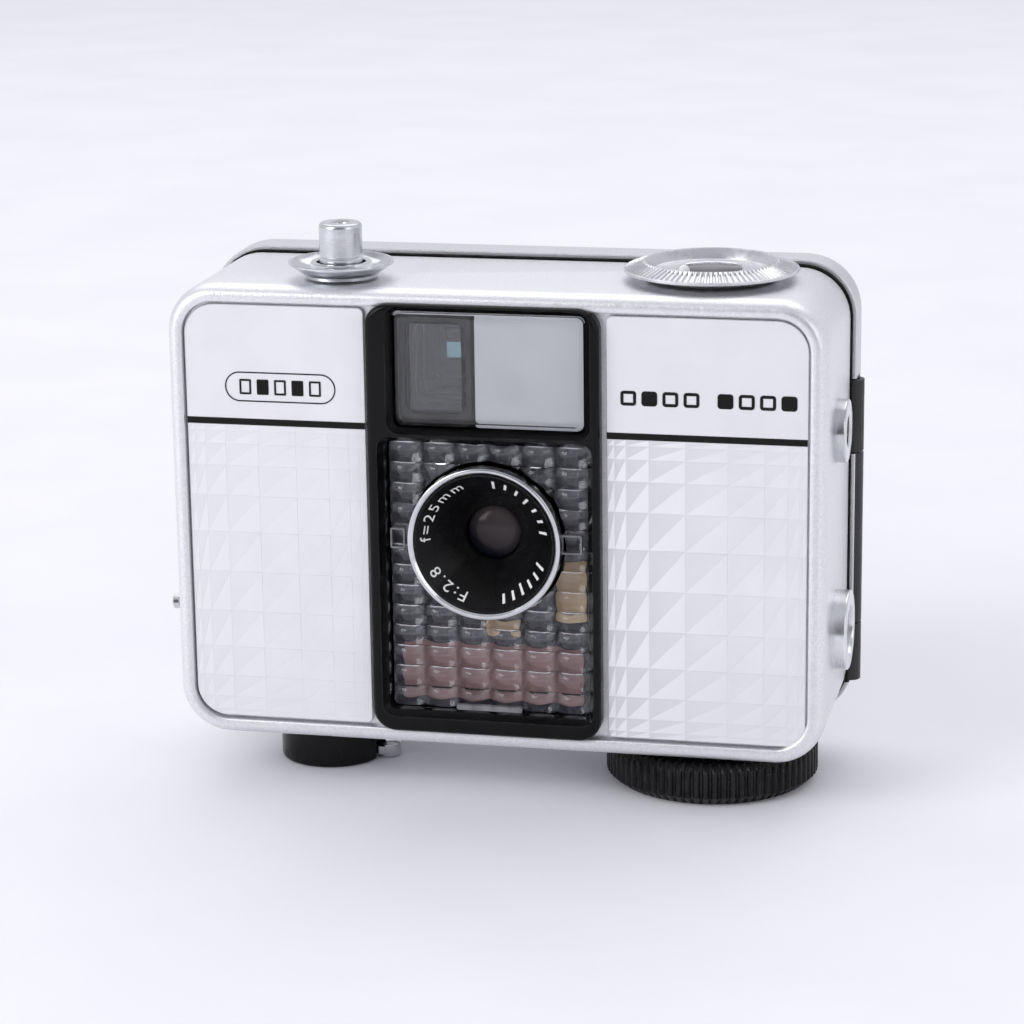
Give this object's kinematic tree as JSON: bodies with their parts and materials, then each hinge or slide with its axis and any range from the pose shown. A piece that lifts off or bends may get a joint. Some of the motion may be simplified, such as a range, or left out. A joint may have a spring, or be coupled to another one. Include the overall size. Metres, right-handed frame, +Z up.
{
  "type": "half frame camera",
  "caption": "Compact half frame film camera with a clockwork winder: satin shell, selenium cell window round the lens, top dial, knobs, sockets and a hinged back.",
  "frame": {"origin": "middle of the footprint, on the surface that the two knobs stand on", "axes": "+X to the right seen from the front, +Y from the lens towards the back door, +Z up"},
  "size_m": [0.0904, 0.034, 0.0738],
  "materials": {
    "satin_aluminium": "satin, bead-blasted",
    "panel_aluminium": "fine satin with an embossed facet pattern",
    "black_plastic": "gloss",
    "black_paint": "satin black enamel",
    "black_casting": "matt black die casting",
    "chrome": "polished plating",
    "steel": "bright",
    "brass": "turned",
    "clear_plastic": "clear moulded",
    "lens_glass": "coated",
    "light_plate": "frosted",
    "finder_black": "satin",
    "cell": "dark gloss",
    "foam": "foam",
    "counter_white": "satin",
    "insulator": "satin"
  },
  "bodies": {
    "body": {"front_shell": "satin_aluminium", "left_panel": "panel_aluminium", "right_panel": "panel_aluminium", "centre_frame": "black_plastic", "finder_window": "clear_plastic", "finder_light_plate": "light_plate", "finder_tunnel": "finder_black", "finder_front_lens": "lens_glass", "lens_array_window": "clear_plastic", "selenium_cell": "cell", "meter_movement": "steel", "lens_ring": "chrome", "lens_cone": "black_paint", "front_element": "lens_glass", "middle_element": "lens_glass", "rear_element": "lens_glass", "lens_barrel": "black_paint", "shutter_housing": "black_paint", "shutter_cover": "black_paint", "main_casting": "black_casting", "casting_screw_1": "steel", "casting_screw_2": "steel", "button_dish": "chrome", "button_spring": "steel", "dial_hub": "brass", "mainspring": "steel", "light_seal": "foam", "hinge_leaf": "black_paint", "hinge_pin": "steel", "tripod_socket": "chrome", "sync_socket": "chrome", "sync_core": "insulator", "strap_stud": "chrome"},
    "dial": {"aperture_dial": "chrome", "counter_window": "lens_glass", "dial_index": "counter_white"},
    "counter": {"counter_disc": "counter_white"},
    "button": {"shutter_button": "chrome", "release_bar": "steel"},
    "winder": {"winding_knob": "black_plastic", "winding_shaft": "steel", "knob_screw": "steel"},
    "spool": {"takeup_spool": "black_plastic", "spool_gear": "brass"},
    "sprocket": {"film_sprocket": "steel", "sprocket_gear": "brass"},
    "rewind": {"rewind_knob": "black_plastic", "rewind_fork": "steel", "crank_pin": "steel"},
    "crank": {"rewind_crank": "chrome"},
    "door": {"back_door": "satin_aluminium", "eyepiece_frame": "black_plastic", "eyepiece_lens": "lens_glass", "pressure_spring": "steel"},
    "pressure": {"pressure_plate": "black_paint"},
    "latch": {"door_latch": "steel"},
    "needle": {"meter_needle": "brass"},
    "blade_left": {"shutter_blade_left": "steel"},
    "blade_right": {"shutter_blade_right": "steel"}
  },
  "joints": [
    {"name": "shutter_press", "type": "slide", "parent": "body", "child": "button", "axis": [0, 0, -1], "range_m": [0, 0.0013], "stiffness_N_per_m": 500, "springref_m": -0.002, "deforming": ["button_spring"]},
    {"name": "aperture_turn", "type": "hinge", "parent": "body", "child": "dial", "pos_m": [0.02665, -0.00195, 0.06765], "axis": [0, 0, 1], "range_deg": [0, 200]},
    {"name": "winding_turn", "type": "hinge", "parent": "body", "child": "winder", "pos_m": [0.0266, -0.00005, 0.00555], "axis": [0, 0, 1], "continuous": true},
    {"name": "spool_turn", "type": "hinge", "parent": "body", "child": "spool", "pos_m": [0.0266, -0.00005, 0.03665], "axis": [0, 0, 1], "continuous": true},
    {"name": "sprocket_turn", "type": "hinge", "parent": "body", "child": "sprocket", "pos_m": [0.0146, 0.00575, 0.03665], "axis": [0, 0, 1], "continuous": true},
    {"name": "counter_turn", "type": "hinge", "parent": "body", "child": "counter", "pos_m": [0.02665, -0.00195, 0.06665], "axis": [0, 0, 1], "continuous": true},
    {"name": "rewind_turn", "type": "hinge", "parent": "body", "child": "rewind", "pos_m": [-0.0249, -0.00095, 0.00555], "axis": [0, 0, 1], "continuous": true},
    {"name": "crank_fold", "type": "hinge", "parent": "rewind", "child": "crank", "pos_m": [-0.0295, -0.00095, 0.0011], "axis": [0, 1, 0], "range_deg": [0, 95]},
    {"name": "door_swing", "type": "hinge", "parent": "body", "child": "door", "pos_m": [0.0434, 0.00995, 0.03665], "axis": [0, 0, -1], "range_deg": [0, 110]},
    {"name": "pressure_float", "type": "slide", "parent": "door", "child": "pressure", "axis": [0, 1, 0], "range_m": [0, 0.0003], "stiffness_N_per_m": 400, "springref_m": -0.001},
    {"name": "latch_slide", "type": "slide", "parent": "door", "child": "latch", "axis": [0, 0, -1], "range_m": [0, 0.0029], "stiffness_N_per_m": 300, "springref_m": -0.001},
    {"name": "needle_swing", "type": "hinge", "parent": "body", "child": "needle", "pos_m": [-0.00006, -0.00355, 0.01615], "axis": [0, 1, 0], "range_deg": [-25, 25], "stiffness_Nm_per_rad": 0.00002},
    {"name": "blade_left_swing", "type": "hinge", "parent": "body", "child": "blade_left", "pos_m": [-0.00686, -0.00045, 0.02748], "axis": [0, -1, 0], "range_deg": [0, 35], "stiffness_Nm_per_rad": 0.001, "springref_deg": -11.46},
    {"name": "blade_right_swing", "type": "hinge", "parent": "body", "child": "blade_right", "pos_m": [0.00674, 0.00025, 0.02748], "axis": [0, 1, 0], "range_deg": [0, 35]}
  ],
  "couplings": [
    {"joint": "sprocket_turn", "follows": "spool_turn", "ratio": -1.2222},
    {"joint": "counter_turn", "follows": "spool_turn", "ratio": 0.025463},
    {"joint": "blade_right_swing", "follows": "blade_left_swing", "ratio": 1}
  ]
}
